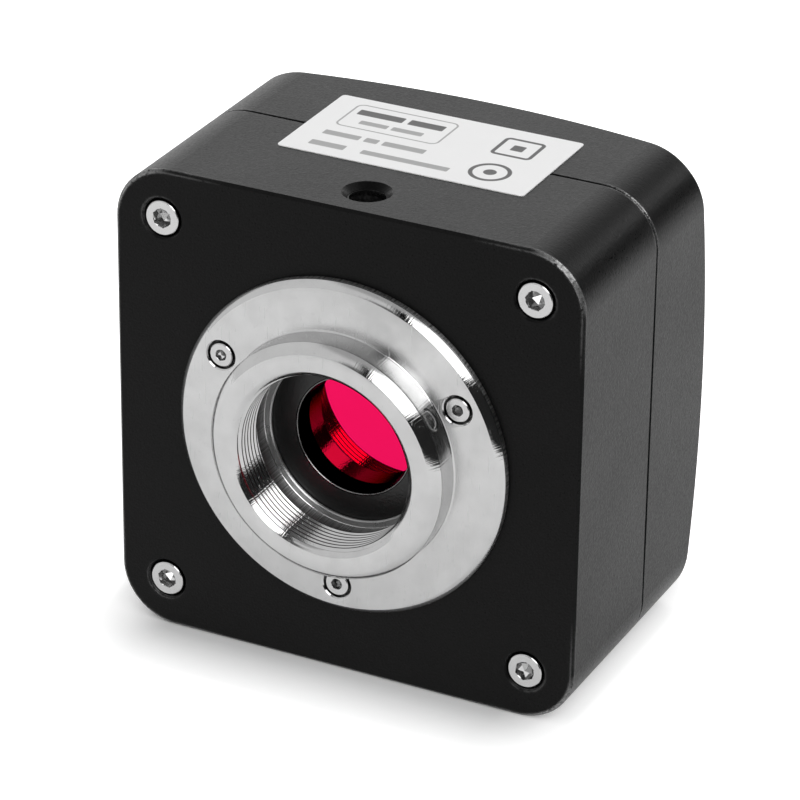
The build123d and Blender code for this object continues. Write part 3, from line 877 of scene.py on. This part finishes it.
def counterbore_cutter(angle):
    """Tool that cuts one screw's counterbore, its chamfer and its hole into the flange."""
    clear = 0.2
    top = flange_face_at - clear
    bottom = flange_back_at + clear
    wide = flange_counterbore_radius
    profile = [
        (0.0, top),
        (wide + flange_counterbore_chamfer + clear, top),
        (wide, flange_face_at + flange_counterbore_chamfer),
        (wide, flange_counterbore_end_at),
        (flange_screw_hole_radius, flange_counterbore_end_at),
        (flange_screw_hole_radius, bottom),
        (0.0, bottom),
    ]
    centre = flange_screw_centre(angle)
    return turned("counterbore", lambda _: profile, flange_counterbore_segments, centre)


def make_ring(made):
    """The mount ring, with its thread and the flange screws' counterbores."""
    ring = turned("mount_ring", ring_profile, ring_segments)
    ring = cut(ring, [counterbore_cutter(angle) for angle in flange_screw_angles])
    return mesh_object("mount_ring", smooth(ring), [made], ["mount_flange"])


# Hexagon-socket screws

def socket_screw(name, head_radius, head_height, shank_radius, length, key, key_depth, slope):
    """Screw along +Y with the top of its head at zero, in millimetres. Its socket is slot 1."""
    head_chamfer = 0.12
    rounding = 0.03
    rounding_depth = 0.012
    rounding_end = 0.02
    shank_chamfer = 0.25
    clear = 0.2
    lead_in = 0.3
    overlap = 0.05
    face_margin = 0.01
    sides = 6
    end = head_height + length
    profile = [
        (0.0, 0.0),
        (head_radius - head_chamfer - rounding, 0.0),
        (head_radius - head_chamfer, rounding_depth),
        (head_radius - rounding_end, head_chamfer - rounding_end),
        (head_radius, head_chamfer + rounding),
        (head_radius, head_height),
        (shank_radius, head_height),
        (shank_radius, end - shank_chamfer),
        (shank_radius - shank_chamfer, end),
        (0.0, end),
    ]
    head = turned(name, lambda _: profile, screw_segments)
    corner = key / 3 ** 0.5
    flat = key / 2
    mouth = (corner + flat) / 2
    countersink = [
        (0.0, -clear),
        (mouth + clear, -clear),
        (mouth - lead_in, lead_in),
        (0.0, lead_in),
    ]
    cutters = [
        prism(name + "_key", sides, corner, 0.0, -2 * clear, key_depth),
        turned(name + "_mouth", lambda _: countersink, screw_segments),
        pyramid(name + "_point", sides, flat, 180 / sides, key_depth - overlap, slope * flat),
    ]
    screw = cut(head, cutters)
    # Faces inside the socket take slot 1, whose darker steel is painted shade
    for face in screw.polygons:
        middle = face.center / mm
        deep = face_margin < middle.y < head_height
        inside = deep and Vector((middle.x, middle.z)).length < corner
        face.material_index = 1 if inside else 0
    return screw


def spun(x, depth, z, turn):
    """Matrix that turns a screw about its axis and moves it to its place, in millimetres."""
    return Matrix.Translation((x * mm, depth * mm, z * mm)) @ Matrix.Rotation(radians(turn), 4, "Y")


def make_housing_screws(finishes):
    """The four screws at the corners of the front."""
    screw = socket_screw("housing_screw", **housing_screw)
    corners = [(x, z) for z in (1, -1) for x in (-1, 1)]
    placed = [
        (screw, spun(x * housing_screw_offset, housing_face_at, z * housing_screw_offset, turn))
        for (x, z), turn in zip(corners, housing_screw_turns)
    ]
    mesh = smooth(joined("housing_screws", placed), screw_sharp_angle)
    return mesh_object("housing_cap_screws", mesh, finishes, ["housing_screws"])


def make_flange_screws(finishes):
    """The three screws in the flange's counterbores."""
    screw = socket_screw("flange_screw", **flange_screw)
    placed = []
    for angle, turn in zip(flange_screw_angles, flange_screw_turns):
        x, z = flange_screw_centre(angle)
        placed.append((screw, spun(x, flange_face_at, z, turn)))
    mesh = smooth(joined("flange_screws", placed), screw_sharp_angle)
    return mesh_object("flange_cap_screws", mesh, finishes, ["flange_screws"])


def make_tripod_thread(made):
    """Thin threaded lining of the tripod hole, which runs down from the top."""
    outer = tripod_radius - lining_clearance
    root = outer - lining_wall
    crest = tripod_radius - lining_thread_height

    def profile(angle):
        wall = threaded_wall(angle, tripod_pitch, crest, root, lining_start, lining_end)
        return wall + [(outer, lining_end), (outer, lining_start)]

    lining = turned("tripod_thread", profile, tripod_segments)
    above = Matrix.Translation((0.0, tripod_at * mm, tripod_top * mm))
    lining.transform(above @ Matrix.Rotation(radians(-90), 4, "X"))
    return mesh_object("tripod_thread", smooth(lining), [made])


# Studio: a pale floor, and surroundings that the metal mirrors as bands round its axis

horizon_light = 0.74
back_light = 1.10
softbox_light = 2.0
softbox_core_light = 3.0
softbox_back_light = 1.2
ceiling_light = 0.45
dark_light = 0.02
black_light = 0.0
grey_light = 0.13

# Zones of the surroundings: how much of a direction lies along Y or Z where each zone begins and
# ends, and degrees round the object's axis
high_from = (-0.72, -0.66)
core_along = (-0.93, -0.45)
core_angles = (32.0, 76.0)
ahead_from = (-0.94, -0.955)
ahead_angles = (82.0, 150.0)
back_from = (0.30, 0.50)
ceiling_from = (0.84, 0.90)

# Floor, in metres, and the shadow painted round its footprint, in millimetres
floor_half = 0.9
floor_right = 0.19
floor_low = -0.034
floor_colour = 0.87
floor_lift = 0.9
floor_mirror_lift = 0.15
footprint_left = -26.0
footprint_right = 22.0
footprint_front_at = 6.9
footprint_back_at = 44.0
shadow_start = 1.5
shadow_reach = 13.0
shadow_overlap = 2.0
shadow_end = 16.0
shadow_lift = 0.50

# Bands of the surroundings round the object's axis, as degrees and brightness: low for the part
# ahead of its front, high for the part beside it and back for the part behind it
high_bands = [
    (-180.0, horizon_light),
    (-12.0, horizon_light),
    (-9.0, dark_light),
    (29.5, dark_light),
    (31.0, softbox_light),
    (76.0, softbox_light),
    (76.8, black_light),
    (86.5, black_light),
    (87.5, horizon_light),
    (180.0, horizon_light),
]
low_bands = high_bands[:-2] + [
    (87.0, grey_light),
    (104.0, grey_light),
    (112.0, horizon_light),
    (180.0, horizon_light),
]
back_bands = [
    (-180.0, horizon_light),
    (-12.0, horizon_light),
    (-9.0, dark_light),
    (29.5, dark_light),
    (31.0, softbox_back_light),
    (48.0, softbox_back_light),
    (60.0, horizon_light / 2),
    (82.0, horizon_light / 2),
    (108.0, back_light),
    (180.0, back_light),
]


def band_light(graph, angle, bands):
    """Brightness of the surroundings for an angle round the object's axis, in degrees."""
    ramp = graph.add("ShaderNodeValToRGB", {0: graph.spread(angle, -180.0, 180.0)})
    stops = ramp.color_ramp.elements
    while len(stops) > 1:
        stops.remove(stops[-1])
    for number, (degree, light) in enumerate(bands):
        place = (degree + 180.0) / 360.0
        stop = stops[0] if number == 0 else stops.new(place)
        stop.position = place
        stop.color = grey(light)
    return ramp.outputs[0]


def make_world():
    """Surroundings that light the object and show in its metal. Looked at, they are white."""
    world = bpy.data.worlds.new("studio")
    bpy.context.scene.world = world
    graph = Graph(world)
    direction = graph.add("ShaderNodeTexCoord").outputs["Generated"]
    x, y, z = graph.axes(direction)
    angle = graph.math("MULTIPLY", graph.math("ARCTAN2", z, x), degrees(1))
    low = band_light(graph, angle, low_bands)
    high = band_light(graph, angle, high_bands)
    back = band_light(graph, angle, back_bands)
    light = graph.mix(graph.spread(y, *high_from), low, high)
    core = graph.both(graph.within(y, *core_along, 0.02), graph.within(angle, *core_angles, 0.5))
    light = graph.mix(core, light, grey(softbox_core_light))
    ahead = graph.both(graph.spread(y, *ahead_from), graph.within(angle, *ahead_angles, 3.0))
    light = graph.mix(ahead, light, grey(dark_light))
    light = graph.mix(graph.spread(y, *back_from), light, back)
    light = graph.mix(graph.spread(z, *ceiling_from), light, grey(ceiling_light))
    seen = graph.add("ShaderNodeLightPath").outputs["Is Camera Ray"]
    colour = graph.mix(seen, light, grey(1.0))
    shader = graph.add("ShaderNodeBackground", {"Color": colour, "Strength": 1.0}).outputs[0]
    output = graph.add("ShaderNodeOutputWorld")
    graph.tree.links.new(shader, output.inputs["Surface"])


def studio_floor(graph):
    """Pale floor, lifted to white where it is looked at, less near the footprint: a painted shadow.
    """
    rays = graph.add("ShaderNodeLightPath").outputs
    mirrored = graph.either(rays["Is Glossy Ray"], rays["Is Transmission Ray"])
    lit = graph.add("ShaderNodeBsdfDiffuse", {"Color": grey(floor_colour)}).outputs[0]
    x, y, _ = graph.axes()
    beyond_x = graph.beyond(x, footprint_left * mm, footprint_right * mm)
    beyond_y = graph.beyond(y, footprint_front_at * mm, footprint_back_at * mm)
    away = graph.reach(beyond_x, beyond_y)
    outer = metres((shadow_reach - shadow_overlap, shadow_end))
    # Painted shadow: the lift is held back near the footprint
    open_lift = graph.math(
        "ADD",
        graph.spread(away, shadow_start * mm, shadow_reach * mm, 0.0, shadow_lift),
        graph.spread(away, *outer, 0.0, floor_lift - shadow_lift),
    )
    lift = graph.math("MULTIPLY", rays["Is Camera Ray"], open_lift)
    lift = graph.math("ADD", lift, graph.math("MULTIPLY", mirrored, floor_mirror_lift))
    glow = graph.add("ShaderNodeEmission", {"Color": grey(1.0), "Strength": lift}).outputs[0]
    return graph.add("ShaderNodeAddShader", {0: lit, 1: glow}).outputs[0]


def make_floor():
    """Floor under the object, which ends a little way off on its right."""
    form = bmesh.new()
    corners = [
        (-floor_half, -floor_half),
        (floor_right, -floor_half),
        (floor_right, floor_half),
        (-floor_half, floor_half),
    ]
    form.faces.new([form.verts.new((x, y, floor_low)) for x, y in corners])
    mesh = mesh_of("floor", form)
    ground = bpy.data.objects.new("floor", mesh)
    bpy.context.scene.collection.objects.link(ground)
    mesh.materials.append(finished("studio_floor", studio_floor))


def make_camera():
    """The photograph's view, from its azimuth, elevation and roll."""
    back = Vector((
        sin(camera_azimuth) * cos(camera_elevation),
        -cos(camera_azimuth) * cos(camera_elevation),
        sin(camera_elevation),
    ))
    level = Vector((cos(camera_azimuth), sin(camera_azimuth), 0.0))
    upright = back.cross(level)
    right = cos(camera_roll) * level + sin(camera_roll) * upright
    up = cos(camera_roll) * upright - sin(camera_roll) * level
    data = bpy.data.cameras.new("camera")
    data.lens = camera_lens
    data.sensor_width = camera_sensor
    data.clip_start = camera_near
    data.clip_end = camera_far
    camera = bpy.data.objects.new("camera", data)
    bpy.context.scene.collection.objects.link(camera)
    turn = Matrix((right, up, back)).transposed().to_4x4()
    camera.matrix_world = Matrix.Translation(camera_place) @ turn
    bpy.context.scene.camera = camera


def dress_nodes():
    """Gives every CAD node that stays in view, or inside, a finish of its own."""
    housing = finished("black_anodised_blasted", black_anodised)
    for name in ("front_housing", "rear_housing"):
        dress(name, housing)
    dress("filter_glass", finished("crimson_coating", crimson_coating))
    dress("top_label", finished("printed_sticker", sticker_film))
    board = finished("green_board", circuit_board)
    for name in ("sensor_board", "main_board"):
        dress(name, board)
    metals = {
        "nickel_shell": ((0.66, 0.66, 0.64), 0.28, 2 * mm, ("port_shell", "clock_crystal")),
        "gold_contact": ((0.90, 0.66, 0.26), 0.24, 1 * mm, ("port_contacts",)),
        "turned_brass": ((0.78, 0.58, 0.26), 0.26, 2 * mm, ("board_standoffs",)),
        "inner_screw_steel": ((0.58, 0.58, 0.57), 0.3, 2 * mm, ("main_board_screws",)),
    }
    for name, (tone, roughness, scale, members) in metals.items():
        made = finished(name, lambda graph: plain_metal(graph, tone, roughness, scale))
        for member in members:
            dress(member, made)
    mouldings = {
        "black_ring": ((0.012, 0.012, 0.012), 0.45, ("filter_retainer",)),
        "seal_rubber": ((0.015, 0.015, 0.015), 0.75, ("sensor_seal",)),
        "dark_ceramic": ((0.10, 0.09, 0.085), 0.5, ("sensor_package",)),
        "silicon": ((0.05, 0.04, 0.08), 0.12, ("sensor_die",)),
        "black_connector": ((0.02, 0.02, 0.02), 0.5, ("board_socket", "board_header")),
        "black_epoxy": (
            (0.018, 0.018, 0.018),
            0.55,
            ("processor", "memory_chips", "port_controller", "power_inductors"),
        ),
        "tan_ceramic": ((0.42, 0.30, 0.17), 0.4, ("sensor_capacitors", "board_capacitors")),
        "lamp_body": ((0.80, 0.78, 0.62), 0.3, ("status_led",)),
        "pale_insulator": ((0.72, 0.72, 0.69), 0.42, ("port_insulator",)),
    }
    for name, (tone, roughness, members) in mouldings.items():
        made = finished(name, lambda graph: moulded(graph, tone, roughness))
        for member in members:
            dress(member, made)
    dress("sensor_cover_glass", finished("cover_glass", cover_glass))
    pipe = finished("clear_pipe", lambda graph: clear_moulding(graph, (0.92, 0.94, 0.94), 0.15))
    dress("light_pipe", pipe)


make_camera()
make_world()
make_floor()
dress_nodes()
make_ring(finished("turned_nickel", turned_metal))
bright_steel = [
    finished("bright_screw_steel", screw_steel),
    finished("screw_socket_painted_shade", socket_steel_painted_shade),
]
make_housing_screws(bright_steel)
make_flange_screws(bright_steel)
make_tripod_thread(finished("tapped_thread", tapped_thread))

bpy.context.scene.view_settings.view_transform = "Standard"
